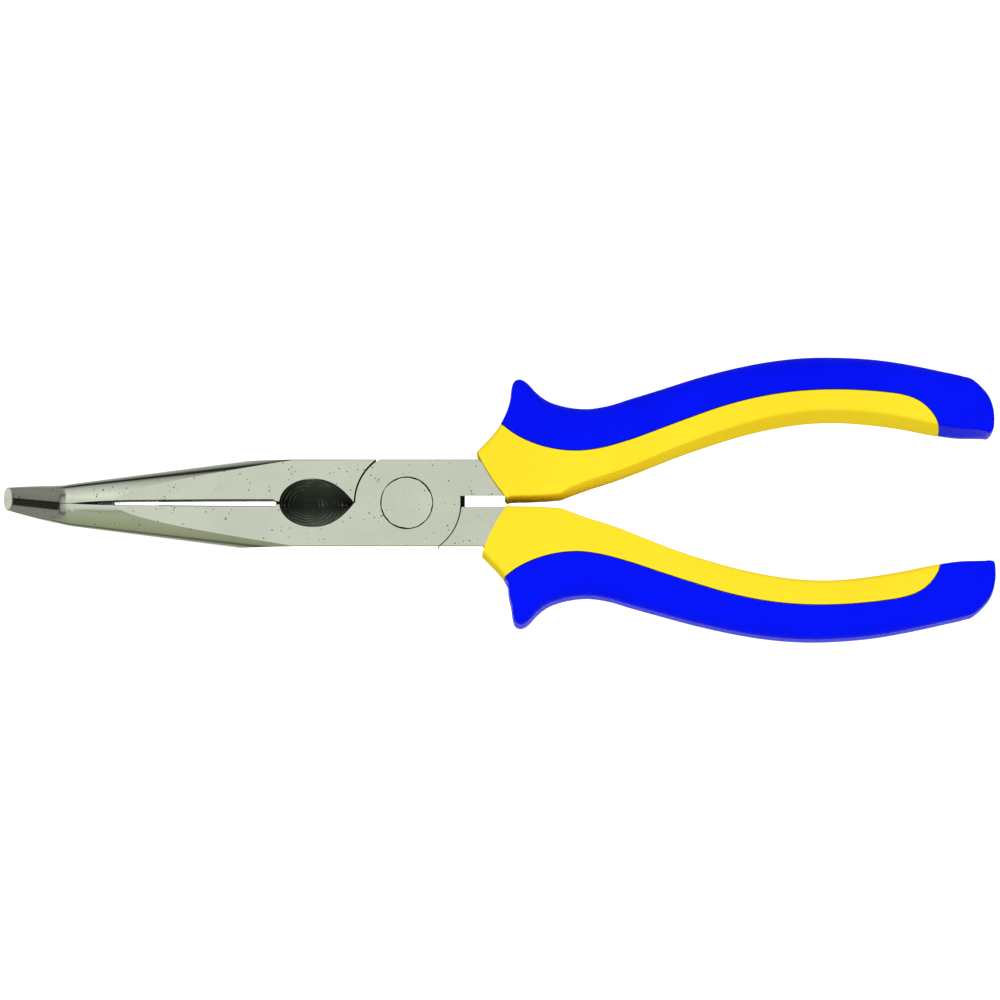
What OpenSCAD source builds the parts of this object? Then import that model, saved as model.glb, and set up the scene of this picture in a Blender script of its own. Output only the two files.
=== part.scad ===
// Bent long nose pliers with side cutters and two-colour grips.
// They lie closed, jaws towards -X and handles towards +X. The pivot's axis is Z, through
// the origin, and z = 0 is the head's lower flat. The nose bends upwards at its tip.
// The lower jaw and the upper handle are one forging, the upper jaw and the lower handle
// the other. Each handle is built in the upper handle's place, then turned to its own.

/* [Head] */
// Thickness of the head between its two ground flats
head_t = 11; // [10:0.5:12]
// Width of the head across its sides
head_w = 17.2; // [16:0.1:19]
// Radius of the round lap that each lever has at the pivot
lap_r = 10.7; // [10.3:0.1:11.2]
// Radius of the rivet's shank
rivet_r = 4; // [3:0.25:4.5]
// Radius of the rivet's flush ends
rivet_end_r = 5.3; // [5:0.1:6]
// Space between the closed handles at the head
shank_gap = 2.5; // [1.6:0.1:2.8]

/* [Nose] */
// Distance from the pivot to the bend of the nose
bend_at = 69.5; // [66:0.5:72]
// Angle of the bent tip above the head's flats
bend_angle = 40; // [20:5:45]
// Length of the bent tip, along its own axis
tip_len = 14.4; // [12:0.2:18]
// Radius of the nose at the bend
bend_r = 4.2; // [4:0.1:4.6]
// Growth in the nose's radius for each millimetre towards the pivot
nose_taper = 0.132; // [0.12:0.002:0.14]
// Half of the tip's width at its end
tip_half_w = 2.6; // [2.2:0.1:3]
// Half of the tip's thickness at its end
tip_half_t = 1.2; // [1:0.1:1.6]

/* [Jaws] */
// Pitch of the teeth
tooth_pitch = 0.5; // [0.5:0.05:1]
// Depth of the teeth
tooth_depth = 0.3; // [0.2:0.05:0.4]
// Number of teeth on each jaw
tooth_count = 34; // [10:1:34]
// Half of the width of the relief slot between the jaws
slot_half_w = 0.6; // [0.4:0.05:0.8]
// Length of the cutter's recess
cutter_len = 14.8; // [12:0.2:15]
// Half of the width of the cutter's recess, at the head's flats
cutter_half_w = 4.9; // [4:0.1:5.5]

/* [Grips] */
// Half of the thickness of the grips where they are fullest
grip_half_t = 8.25; // [7.5:0.25:9]
// Half of the thickness of the tang inside the grips
tang_half_t = 3.2; // [2.5:0.1:3.5]
// Angle by which the lower handle stands closer to the middle than the upper one
lower_handle_turn = 0.6; // [0:0.1:0.8]

/* [Hidden] */

mid_z = head_t / 2;
half_w = head_w / 2;
over = 1;             // how far a cutting body reaches past what it cuts
beyond = 30;          // reaches past the whole part, up or down
jaw_gap = 0.05;       // from the middle plane to each closed jaw's face
lap_gap = 0.025;      // from the middle plane to each lap's sliding face
shoulder_gap = 0.2;   // between a lap and the other lever's shoulder
pivot_gap = 0.05;     // running clearance of the rivet in the swinging lever
rivet_sink = 1.4;     // depth of the rivet's flared ends
shank_end = 21;       // the shank's plain stretch ends inside this distance

slot_from = 50;       // the relief slot's far end, from the pivot
slot_to = 26.3;       // its near end
cutter_to = 10.9;     // the recess's pointed end, at the shoulders
cutter_widest = 0.56; // where the recess is widest, as a share of its length
cutter_land = 0.3;    // half the height of the cutting edges' lands
cutter_steps = 9;     // points along each end of the recess's outline

ring_sides = 16;
core_squareness = 3;  // 2 is an ellipse, and more is squarer
spine_squareness = 2.6;

steel = [0.74, 0.76, 0.70];
rivet_steel = [0.78, 0.80, 0.74];
core_yellow = [1.00, 0.90, 0.18];
cover_blue = [0.02, 0.07, 0.92];

// Where the grip meets the shank, seen from above
collar_front = [[20.3, 0.4], [17.6, 3.6], [14.3, 8.8], [14.1, 10.8]];

// Grip sections from the collar to the butt: distance from the pivot, inner edge,
// outer edge, and half thickness as a share of the fullest
grip_sections = [
    [12.5, 0.7, 10.2, 0.94], [15.4, 0.7, 11.7, 0.96], [18.3, 0.7, 14.8, 0.98],
    [19.9, 0.7, 17.7, 0.99], [21.0, 0.8, 21.7, 1.00], [21.6, 0.9, 24.3, 1.00],
    [22.8, 0.9, 25.0, 1.00], [24.6, 1.0, 23.4, 1.00], [27.2, 1.1, 21.1, 1.00],
    [31.7, 1.6, 19.5, 1.00], [37.0, 3.2, 19.3, 1.00], [44.6, 5.9, 21.2, 1.00],
    [54.3, 9.6, 24.1, 1.00], [64.0, 12.7, 26.8, 1.00], [73.7, 15.0, 28.5, 1.00],
    [83.4, 16.1, 29.2, 1.00], [93.1, 15.6, 28.7, 0.99], [102.8, 14.1, 27.2, 0.97],
    [110.0, 12.9, 25.7, 0.93], [114.1, 12.7, 24.4, 0.88], [116.4, 12.9, 22.6, 0.80],
    [117.9, 13.6, 20.8, 0.68], [118.7, 15.0, 19.0, 0.50]
];

// The part of the core that lies under the cover, in the same terms
spine_sections = [
    [23.0, 6.0, 14.0, 0.72], [31.7, 5.0, 17.0, 0.74], [38.0, 6.4, 17.0, 0.74],
    [44.6, 9.0, 18.7, 0.74], [54.3, 12.4, 21.6, 0.74], [64.0, 15.4, 24.3, 0.74],
    [73.7, 17.6, 26.0, 0.74], [83.4, 18.7, 26.7, 0.74], [93.1, 18.2, 26.2, 0.73],
    [102.8, 16.8, 24.6, 0.70], [110.0, 15.8, 22.6, 0.62], [115.0, 16.6, 20.2, 0.42]
];

// The tang inside the grip: distance from the pivot, inner edge, outer edge
tang_sections = [
    [12.0, 2.6, 8.4], [20.0, 2.8, 8.6], [27.0, 3.6, 10.0], [33.0, 5.6, 12.2],
    [38.0, 8.2, 14.4], [44.6, 10.6, 16.5], [54.3, 14.0, 19.7], [64.0, 17.1, 22.5],
    [73.7, 19.2, 24.3], [83.4, 20.2, 25.1], [93.1, 19.8, 24.4], [100.0, 19.0, 23.3],
    [104.0, 18.6, 22.0]
];

// The seam between the cover and the core, seen from above
seam = [
    [14.0, 19.5], [18.9, 15.9], [22.0, 13.6], [25.3, 12.0], [30.1, 10.7], [34.9, 10.4],
    [38.2, 10.8], [44.6, 12.5], [51.1, 14.8], [57.6, 17.1], [64.0, 19.2], [70.5, 20.8],
    [77.0, 21.8], [83.4, 22.2], [89.9, 22.0], [96.4, 21.2], [102.8, 19.9], [104.9, 19.1],
    [106.3, 17.7], [107.1, 16.0], [107.4, 14.0], [107.4, 5.0]
];
butt_beyond = [[125, 5], [125, 32], [14, 32]];

// ---- Helpers ----

function signed_power(value, exponent) = sign(value) * pow(abs(value), exponent);

// One ring of a section, as points in space
function ring(section, squareness) = [
    for (i = [0 : ring_sides - 1])
        let (
            angle = 360 * (i + 0.5) / ring_sides,
            across = signed_power(cos(angle), 2 / squareness),
            up = signed_power(sin(angle), 2 / squareness),
            centre = (section[1] + section[2]) / 2,
            half = (section[2] - section[1]) / 2
        )
        [section[0], centre + half * across, mid_z + grip_half_t * section[3] * up]
];

// A closed skin through all the sections
module sweep(sections, squareness) {
    rings = [for (s = sections) each ring(s, squareness)];
    last = len(sections) - 1;
    start_cap = [for (i = [0 : ring_sides - 1]) i];
    end_cap = [for (i = [ring_sides - 1 : -1 : 0]) last * ring_sides + i];
    sides = [
        for (s = [0 : last - 1], i = [0 : ring_sides - 1])
            let (
                next = (i + 1) % ring_sides,
                here = s * ring_sides,
                there = here + ring_sides
            )
            [here + i, there + i, there + next, here + next]
    ];
    polyhedron(points = rings, faces = concat([start_cap], sides, [end_cap]));
}

// Turns a shape made for the upper handle into the lower handle's
module lower_handle() {
    rotate([0, 0, lower_handle_turn])
        mirror([0, 1, 0])
            children();
}

// An outline through the whole height of the part
module full_height() {
    translate([0, 0, -beyond])
        linear_extrude(2 * beyond)
            children();
}

// Everything behind the collar's front, seen from above
module behind_collar() {
    polygon(concat([[20.6, -2]], collar_front, [[14.1, 35], [125, 35], [125, -2]]));
}

// ---- Steel levers ----

// The round cone that the nose is ground to, about the jaws' middle line
module nose_cone() {
    near = -10;
    far = -bend_at - 8;
    translate([far, 0, mid_z])
        rotate([0, 90, 0])
            cylinder(
                h = near - far,
                r1 = bend_r + nose_taper * (far + bend_at),
                r2 = bend_r + nose_taper * (near + bend_at),
                $fn = 96
            );
}

// A block on the pivot's side of the mitre plane at the bend
module pivot_side_of_bend() {
    size = 4 * beyond;
    translate([-bend_at, 0, mid_z])
        rotate([0, bend_angle / 2, 0])
            translate([0, -size / 2, -size / 2])
                cube([size, size, size]);
}

// Head and straight nose, both jaws together
module straight_body() {
    intersection() {
        union() {
            nose_cone();
            translate([-15, -half_w, 0])
                cube([15 + shank_end, head_w, head_t]);
        }
        translate([-100, -half_w, 0])
            cube([100 + shank_end, head_w, head_t]);
        pivot_side_of_bend();
    }
}

// The flattened cone of the bent tip, both jaws together
module bent_tip() {
    back = 5;
    width_step = (bend_r - tip_half_w) / tip_len;
    thickness_step = (bend_r - tip_half_t) / tip_len;
    difference() {
        translate([-bend_at, 0, mid_z])
            rotate([0, bend_angle, 0])
                intersection() {
                    translate([-tip_len, 0, 0])
                        rotate([0, 90, 0])
                            cylinder(
                                h = tip_len + back,
                                r1 = tip_half_w,
                                r2 = bend_r + width_step * back,
                                $fn = 96
                            );
                    rotate([90, 0, 0])
                        linear_extrude(2 * head_w, center = true)
                            polygon([
                                [-tip_len, -tip_half_t],
                                [back, -bend_r - thickness_step * back],
                                [back, bend_r + thickness_step * back],
                                [-tip_len, tip_half_t]
                            ]);
                }
        pivot_side_of_bend();
    }
}

// Half width of the gap in front of one jaw, which opens from the tip to the slot
function gap_at(x) =
    let (teeth_from = slot_from + tooth_count * tooth_pitch)
    jaw_gap + (slot_half_w - jaw_gap) * (teeth_from + x) / (teeth_from - slot_from);

// Outline of the lower jaw as far as the pivot: tip, teeth, relief slot, cutter's faces
module jaw_outline() {
    teeth_from = -slot_from - tooth_count * tooth_pitch;
    teeth = [
        for (i = [0 : tooth_count - 1])
            let (root = teeth_from + i * tooth_pitch, crest = root + tooth_pitch / 2)
            each [[root, -gap_at(root)], [crest, -gap_at(crest) - tooth_depth]]
    ];
    difference() {
        polygon(concat(
            [[0, -half_w], [-100, -half_w], [-100, -jaw_gap]],
            teeth,
            [[-slot_from, -slot_half_w], [-slot_to - slot_half_w, -slot_half_w],
             [-slot_to - slot_half_w, -jaw_gap], [0, -jaw_gap]]
        ));
        translate([-slot_to - slot_half_w, 0])
            circle(r = slot_half_w, $fn = 32);
    }
}

// Outline of the round lap, cut off along the head's sides
module lap_outline() {
    intersection() {
        circle(r = lap_r, $fn = 96);
        translate([-half_w * 2, -half_w])
            square([half_w * 4, head_w]);
    }
}

// Outline of the handle's plain shank, between the lap and the collar
module shank_outline() {
    difference() {
        translate([0, shank_gap / 2])
            square([shank_end, half_w - shank_gap / 2]);
        behind_collar();
    }
}

// Outline of the cutter's recess: a round end towards the tip, a point at the pivot
module cutter_outline() {
    round_len = cutter_len * (1 - cutter_widest);
    point_len = cutter_len * cutter_widest;
    widest_x = -cutter_to - point_len;
    upper = concat(
        [for (i = [0 : cutter_steps])
            let (a = 90 * i / cutter_steps)
            [widest_x - round_len * cos(a), cutter_half_w * sin(a)]],
        [for (i = [1 : cutter_steps])
            let (u = i / cutter_steps)
            [widest_x + point_len * u, cutter_half_w * (1 - pow(u, 2.3))]]
    );
    lower = [for (i = [len(upper) - 2 : -1 : 1]) [upper[i][0], -upper[i][1]]];
    polygon(concat(upper, lower));
}

// The recess narrows from one flat of the head down to the cutting edges
module cutter_recess() {
    edge_inset = 0.8;
    hull() {
        translate([0, 0, mid_z])
            linear_extrude(over)
                cutter_outline();
        translate([edge_inset - cutter_to - cutter_len, -jaw_gap / 2, cutter_land])
            cube([cutter_len - 2 * edge_inset, jaw_gap, 0.01]);
    }
}

module cutter_recesses() {
    translate([0, 0, mid_z]) {
        cutter_recess();
        mirror([0, 0, 1])
            cutter_recess();
    }
}

// The rivet's shank and its flared ends, grown by a clearance
module rivet_shape(clearance) {
    r = rivet_r + clearance;
    end_r = rivet_end_r + clearance;
    rotate_extrude($fn = 96)
        polygon([
            [0, 0], [end_r, 0], [r, rivet_sink],
            [r, head_t - rivet_sink], [end_r, head_t], [0, head_t]
        ]);
}

// The tang inside a grip, in the upper handle's place
module tang() {
    inner = [for (s = tang_sections) [s[0], s[1]]];
    outer = [for (i = [len(tang_sections) - 1 : -1 : 0])
        [tang_sections[i][0], tang_sections[i][2]]];
    translate([0, 0, mid_z - tang_half_t])
        linear_extrude(2 * tang_half_t)
            polygon(concat(inner, outer));
}

// A lever's head: the given outline cut from the ground body, without the other's lap
module lever_head(lap_space_z, rivet_clearance) {
    difference() {
        union() {
            intersection() {
                full_height() children();
                straight_body();
            }
            intersection() {
                full_height() children();
                bent_tip();
            }
        }
        translate([0, 0, lap_space_z])
            cylinder(h = beyond, r = lap_r + shoulder_gap, $fn = 96);
        cutter_recesses();
        rivet_shape(rivet_clearance);
    }
}

module lower_jaw_lever() {
    color(steel)
        union() {
            lever_head(mid_z + lap_gap - beyond, 0) {
                union() {
                    jaw_outline();
                    lap_outline();
                    shank_outline();
                }
            }
            tang();
        }
}

module upper_jaw_lever() {
    color(steel)
        union() {
            lever_head(mid_z - lap_gap, pivot_gap) {
                union() {
                    mirror([0, 1]) jaw_outline();
                    lap_outline();
                    rotate(lower_handle_turn) mirror([0, 1]) shank_outline();
                }
            }
            lower_handle() tang();
        }
}

module pivot_rivet() {
    color(rivet_steel)
        rivet_shape(0);
}

// ---- Grips, in the upper handle's place ----

// The whole grip's outer shape
module grip_body() {
    intersection() {
        sweep(grip_sections, core_squareness);
        full_height() behind_collar();
    }
}

// The stretch that the soft cover fills, seen from above
module cover_side() {
    full_height() polygon(concat(seam, butt_beyond));
}

// The hard core shows on the inner side, and its spine runs on under the cover
module grip_core() {
    difference() {
        union() {
            difference() {
                grip_body();
                cover_side();
            }
            sweep(spine_sections, spine_squareness);
        }
        tang();
    }
}

module grip_cover() {
    difference() {
        intersection() {
            grip_body();
            cover_side();
        }
        sweep(spine_sections, spine_squareness);
    }
}

module upper_grip_core() {
    color(core_yellow) grip_core();
}

module upper_grip_cover() {
    color(cover_blue) grip_cover();
}

module lower_grip_core() {
    color(core_yellow) lower_handle() grip_core();
}

module lower_grip_cover() {
    color(cover_blue) lower_handle() grip_cover();
}

lower_jaw_lever();
upper_jaw_lever();
pivot_rivet();
upper_grip_core();
upper_grip_cover();
lower_grip_core();
lower_grip_cover();
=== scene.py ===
"""Looks of the bent long nose pliers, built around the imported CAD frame.

The frame is in metres. Shapes below are worked out in millimetres, with the pivot's axis
on Z through the origin, the jaws towards -X and the handles towards +X.
"""
import math

import bmesh
import bpy
import numpy as np
from mathutils import Matrix, Vector


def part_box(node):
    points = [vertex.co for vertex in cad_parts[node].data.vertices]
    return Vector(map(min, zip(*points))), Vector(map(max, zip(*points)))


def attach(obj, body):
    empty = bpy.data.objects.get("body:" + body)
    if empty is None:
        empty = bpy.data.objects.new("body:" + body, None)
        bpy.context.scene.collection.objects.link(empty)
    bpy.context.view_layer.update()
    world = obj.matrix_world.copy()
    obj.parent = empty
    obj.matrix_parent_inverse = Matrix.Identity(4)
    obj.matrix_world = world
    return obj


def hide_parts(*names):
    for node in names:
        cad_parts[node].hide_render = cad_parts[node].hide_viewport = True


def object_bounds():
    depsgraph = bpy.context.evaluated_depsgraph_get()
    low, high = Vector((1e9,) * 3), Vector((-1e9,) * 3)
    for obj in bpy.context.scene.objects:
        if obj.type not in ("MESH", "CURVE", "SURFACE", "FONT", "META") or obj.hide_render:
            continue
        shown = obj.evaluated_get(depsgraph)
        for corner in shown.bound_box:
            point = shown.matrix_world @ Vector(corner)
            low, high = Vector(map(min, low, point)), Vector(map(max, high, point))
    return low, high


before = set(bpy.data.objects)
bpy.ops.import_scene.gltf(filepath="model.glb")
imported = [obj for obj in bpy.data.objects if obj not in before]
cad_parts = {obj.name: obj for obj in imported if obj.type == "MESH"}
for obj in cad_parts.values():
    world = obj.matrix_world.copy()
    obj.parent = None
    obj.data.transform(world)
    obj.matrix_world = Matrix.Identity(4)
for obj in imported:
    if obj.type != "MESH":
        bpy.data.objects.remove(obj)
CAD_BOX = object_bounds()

MM = 0.001

# ---- Sizes, in millimetres ----

HEAD_T = (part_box("pivot_rivet")[1].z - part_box("pivot_rivet")[0].z) / MM     # the head's thickness
MID_Z = HEAD_T / 2          # height of the middle plane, where the two laps meet
HALF_W = 8.8                # half the head's width
EDGE_BEVEL = 0.18           # bevel along the head's four edges
LAP_R = 10.80               # the round lap's radius on the handles' side
LAP_R_FRONT = 10.36         # and on the jaws' side
SHOULDER_R = 10.87          # the round shoulder around the other lever's lap
SHOULDER_X = 0.18           # how far behind the pivot the shoulder is centred
LAP_GAP = 0.025             # from the middle plane to each lap
RIVET_R = 4.0               # the rivet's shank
RIVET_END_R = 5.3           # its flared ends
RIVET_SINK = 1.4            # how deep each flare goes
RIVET_WORN = 0.17           # how much smaller than their seats the ends look
UPPER_SHANK_Y = 1.4         # inner edge of the upper handle's shank
LOWER_SHANK_Y = 0.95        # and of the lower one's
SHANK_END = 21.0            # where the shanks end, behind the pivot
BEYOND = 30.0               # well past the object, for the shapes that cut it

BEND_AT = 70.1              # where the nose bends, in front of the pivot
BEND_ANGLE = math.radians(41)
BEND_RADIUS = 7.5           # of the bend in the nose's middle line
BEND_REACH = BEND_RADIUS * math.tan(BEND_ANGLE / 2)     # how far the bend reaches to each side
BEND_R = 4.04               # the nose's own radius at the bend
NOSE_TAPER = 0.132          # how much that radius grows for each millimetre behind the bend
TIP_LEN = 13.6              # from the bend to the end face
TIP_HALF_W = 2.33           # half the end face's width
TIP_HALF_T = 1.3            # half its thickness
TIP_ROUNDING = 0.3          # of the end face's edge

JAW_GAP = 0.005             # half the gap between jaws that touch
TOOTH_PITCH = 0.5
TOOTH_DEPTH = 0.15
TOOTH_COUNT = 34
SLOT_FROM = 50.0            # the relief slot's front end, at the last tooth
SLOT_TO = 26.3              # and its rear end, at the cutter's recess
SLOT_HALF_W = 0.6
TEETH_CLOSED = 59.0         # in front of here no light comes up between the teeth
SPLIT_DARK_TO = 1.5         # the split's walls carry painted shade down to this height over the middle plane
SPLIT_REACH = 1.15          # the split's walls and bevels lie within this of the middle

# Half the gap between the jaws, by x
JAW_GAPS = [
    (-100.0, JAW_GAP), (-67.2, JAW_GAP), (-61.0, 0.27), (-56.0, 0.40), (-50.0, 0.46), (-40.0, 0.57),
    (-27.0, 0.6), (-26.3, JAW_GAP),
]
# How wide the bevel along the split is on each jaw, by x
SPLIT_BEVELS = [
    (-85.0, 0.07), (-68.0, 0.05), (-66.0, 0.13), (-62.0, 0.18), (-50.0, 0.17), (-27.0, 0.13),
    (-26.3, 0.33), (-25.0, 0.33),
]

CUTTER_LEN = 15.15          # the cutter's recess from its round front end to its point
CUTTER_HALF_W = 4.9
CUTTER_TO = 10.55           # where its point is, in front of the pivot
CUTTER_WIDEST = 0.56        # share of its length between the point and the widest place
CUTTER_LAND = 0.3           # half the height of the narrow land at the cutting edges
CUTTER_INSET = 0.9          # how much shorter the recess is at each end down there

TAB_FROM = 9                # the stop tab between the shanks: its ends behind the pivot
TAB_TO = 11.7
TAB_INNER = -1.2            # and its two sides
TAB_OUTER = 1.37

LOWER_HANDLE_TURN = math.radians(0.6)   # how much nearer to the upper handle the lower one is turned
HANDLE_DRIFT = 0.0135       # how much the handles lean to the upper side, for each millimetre
DRIFT_FROM = 42.0           # between these two places
DRIFT_TO = 100.0
TIP_DRIFT = 0.042           # the same for the tip, in front of this place
TIP_DRIFT_FROM = -69.0
TANG_HALF_T = 3.2


# ---- Mesh helpers ----


def mesh_object(name, points, faces):
    """A mesh object from points in millimetres, with its faces turned outwards."""
    mesh = bpy.data.meshes.new(name)
    mesh.from_pydata([tuple(float(c) * MM for c in p) for p in points], [], faces)
    shell = bmesh.new()
    shell.from_mesh(mesh)
    bmesh.ops.recalc_face_normals(shell, faces=shell.faces)
    shell.to_mesh(mesh)
    shell.free()
    made = bpy.data.objects.new(name, mesh)
    bpy.context.scene.collection.objects.link(made)
    return made


def loft(name, rings):
    """A closed skin through rings, an array of shape (rings, points, 3)."""
    count, sides = rings.shape[:2]
    faces = [tuple(range(sides)), tuple((count - 1) * sides + i for i in range(sides))]
    for r in range(count - 1):
        for i in range(sides):
            j = (i + 1) % sides
            faces.append((r * sides + i, r * sides + j, (r + 1) * sides + j, (r + 1) * sides + i))
    return mesh_object(name, rings.reshape(-1, 3), faces)


def prism(name, outline, low=-BEYOND, high=BEYOND + MID_Z):
    """An outline seen from above, through a range of heights."""
    count = len(outline)
    points = [(x, y, low) for x, y in outline] + [(x, y, high) for x, y in outline]
    faces = [tuple(range(count)), tuple(range(count, 2 * count))]
    faces += [(i, (i + 1) % count, count + (i + 1) % count, count + i) for i in range(count)]
    return mesh_object(name, points, faces)


def rectangle(from_x, to_x, from_y, to_y):
    """A rectangle seen from above."""
    return [(from_x, from_y), (to_x, from_y), (to_x, to_y), (from_x, to_y)]


def lathe(name, profile, sides=128):
    """A profile of (radius, height) pairs turned about Z. It starts and ends on the axis."""
    inner = profile[1:-1]
    points = [(0, 0, profile[0][1]), (0, 0, profile[-1][1])]
    for r, z in inner:
        for i in range(sides):
            angle = 2 * math.pi * i / sides
            points.append((r * math.cos(angle), r * math.sin(angle), z))
    last = 2 + (len(inner) - 1) * sides
    faces = []
    for i in range(sides):
        j = (i + 1) % sides
        faces.append((0, 2 + i, 2 + j))
        faces.append((1, last + i, last + j))
        for k in range(len(inner) - 1):
            a = 2 + k * sides
            b = a + sides
            faces.append((a + i, a + j, b + j, b + i))
    return mesh_object(name, points, faces)


def apply_modifiers(piece):
    """Swaps the piece's mesh for the one that its modifiers make."""
    bpy.context.view_layer.update()
    graph = bpy.context.evaluated_depsgraph_get()
    final = bpy.data.meshes.new_from_object(piece.evaluated_get(graph))
    piece.modifiers.clear()
    old = piece.data
    piece.data = final
    bpy.data.meshes.remove(old)
    return piece


def boolean(piece, other, operation, keep=False):
    """Cuts, joins or crops the piece with another one, which goes unless it's kept."""
    cut = piece.modifiers.new("cut", "BOOLEAN")
    cut.operation = operation
    cut.solver = "MANIFOLD"
    cut.object = other
    apply_modifiers(piece)
    if not keep:
        bpy.data.objects.remove(other)
    return piece


def copy_of(piece, name):
    twin = piece.copy()
    twin.data = piece.data.copy()
    twin.name = name
    bpy.context.scene.collection.objects.link(twin)
    return twin


def mirror_y(piece):
    """Mirrors the piece to the other side of the tool's length, with its faces still outwards."""
    piece.data.transform(Matrix.Scale(-1, 4, Vector((0, 1, 0))))
    piece.data.flip_normals()
    return piece


def to_lower_handle(piece):
    """Turns the piece over about the tool's length, from the upper handle to the lower one."""
    centre = Matrix.Translation((0, 0, MID_Z * MM))
    turn_over = centre @ Matrix.Rotation(math.pi, 4, "X") @ centre.inverted()
    piece.data.transform(Matrix.Rotation(LOWER_HANDLE_TURN, 4, "Z") @ turn_over)
    return piece


def drift(piece):
    """Swings the handles' rear and the tip slightly to the upper side, as on the tool."""
    for vertex in piece.data.vertices:
        x = vertex.co.x / MM
        rear = HANDLE_DRIFT * (min(x, DRIFT_TO) - DRIFT_FROM) * float(smooth_step(40, 62, x))
        vertex.co.y += (rear + TIP_DRIFT * max(0.0, TIP_DRIFT_FROM - x)) * MM
    return piece


# ---- Curves ----


def smooth_step(low, high, value):
    """Rises smoothly from 0 at low to 1 at high. Low may be the larger number."""
    t = np.clip((value - low) / (high - low), 0, 1)
    return t * t * (3 - 2 * t)


def through(points, spacing, measure=None):
    """A smooth curve through rows of numbers, sampled about every so many millimetres.

    measure picks the columns that distances are taken from.
    """
    rows = np.array(points, float)
    columns = rows if measure is None else rows[:, measure]
    steps = np.maximum(np.linalg.norm(np.diff(columns, axis=0), axis=1), 1e-6)
    knots = np.concatenate([[0], np.cumsum(steps)])
    slopes = np.gradient(rows, knots, axis=0)
    samples = np.linspace(0, knots[-1], int(knots[-1] / spacing) + 1)
    k = np.clip(np.searchsorted(knots, samples, side="right") - 1, 0, len(knots) - 2)
    span = (knots[k + 1] - knots[k])[:, None]
    t = ((samples - knots[k])[:, None]) / span
    return (
        (2 * t**3 - 3 * t**2 + 1) * rows[k]
        + (t**3 - 2 * t**2 + t) * span * slopes[k]
        + (3 * t**2 - 2 * t**3) * rows[k + 1]
        + (t**3 - t**2) * span * slopes[k + 1]
    )


def fillet(before, corner, after, radius, steps):
    """Points of a round corner between two straight lines."""
    before, corner, after = (np.array(p, float) for p in (before, corner, after))
    a, b = before - corner, after - corner
    la, lb = np.linalg.norm(a), np.linalg.norm(b)
    a, b = a / la, b / lb
    half = math.acos(float(np.clip(a @ b, -1, 1))) / 2
    reach = min(radius / math.tan(half), 0.48 * la, 0.48 * lb)
    radius = reach * math.tan(half)
    centre = corner + (a + b) / np.linalg.norm(a + b) * (radius / math.sin(half))
    start, end = corner + a * reach - centre, corner + b * reach - centre
    turn = math.pi - 2 * half
    made = []
    for i in range(steps + 1):
        share = i / steps
        made.append(
            centre
            + (math.sin((1 - share) * turn) * start + math.sin(share * turn) * end) / math.sin(turn)
        )
    return made


# ---- Steel levers ----

NOSE_SIDES = 240    # points around each ring of the nose


def bar_section(half_w, half_t, power):
    """A ring, as (across, up). Power 2 is an ellipse, and a higher one is squarer."""
    angles = 2 * np.pi * (np.arange(NOSE_SIDES) + 0.5) / NOSE_SIDES
    c, s = np.cos(angles), np.sin(angles)
    across = half_w * np.sign(c) * np.abs(c) ** (2 / power)
    up = half_t * np.sign(s) * np.abs(s) ** (2 / power)
    return np.stack([across, up], 1)


def nose_centre(d):
    """Where the nose's middle line is, and its up direction. d is the distance from the bend."""
    if d >= BEND_REACH:
        return np.array([d - BEND_AT, 0, MID_Z]), np.array([0, 0, 1.0])
    turn = BEND_ANGLE * (BEND_REACH - d) / (2 * BEND_REACH) if d > -BEND_REACH else BEND_ANGLE
    place = np.array([
        BEND_REACH - BEND_AT - BEND_RADIUS * math.sin(turn),
        0,
        MID_Z + BEND_RADIUS * (1 - math.cos(turn)),
    ])
    if d < -BEND_REACH:
        place += (-BEND_REACH - d) * np.array([-math.cos(turn), 0, math.sin(turn)])
    return place, np.array([math.sin(turn), 0, math.cos(turn)])


def nose_size(d):
    """The nose's half width and half thickness, and how far the section is into the bend."""
    bent = float(smooth_step(BEND_REACH, -BEND_REACH, d))
    straight_r = BEND_R + NOSE_TAPER * d
    along_tip = (math.hypot(d, 2.5) - d) / 2 / TIP_LEN
    tip_w = BEND_R - (BEND_R - TIP_HALF_W) * (0.79 * along_tip + 0.21 * along_tip**2)
    tip_t = BEND_R - (BEND_R - TIP_HALF_T) * along_tip
    return straight_r * (1 - bent) + tip_w * bent, straight_r * (1 - bent) + tip_t * bent, bent


def nose_bar():
    """The cone of the head and nose, and the flatter bent tip."""
    rounding = np.sin(np.linspace(0, math.pi / 2, 7))[1:]
    distances = np.concatenate([
        np.linspace(BEND_AT + SHANK_END, BEND_REACH, 24),
        np.linspace(BEND_REACH, -BEND_REACH, 28)[1:],
        np.linspace(-BEND_REACH, TIP_ROUNDING - TIP_LEN, 20)[1:],
        TIP_ROUNDING * (1 - rounding) - TIP_LEN,
    ])
    rings = []
    for d in distances:
        place, up = nose_centre(d)
        half_w, half_t, bent = nose_size(d)
        into_end = max(0.0, TIP_ROUNDING - TIP_LEN - d) / TIP_ROUNDING
        worn = 0.75 * TIP_ROUNDING * (1 - math.sqrt(max(0.0, 1 - into_end**2)))
        ring = bar_section(half_w - worn, half_t - worn, 2 + 0.35 * bent)
        rings.append(place + ring[:, :1] * np.array([0, 1.0, 0]) + ring[:, 1:] * up)
    return loft("nose_bar", np.array(rings))


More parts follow.
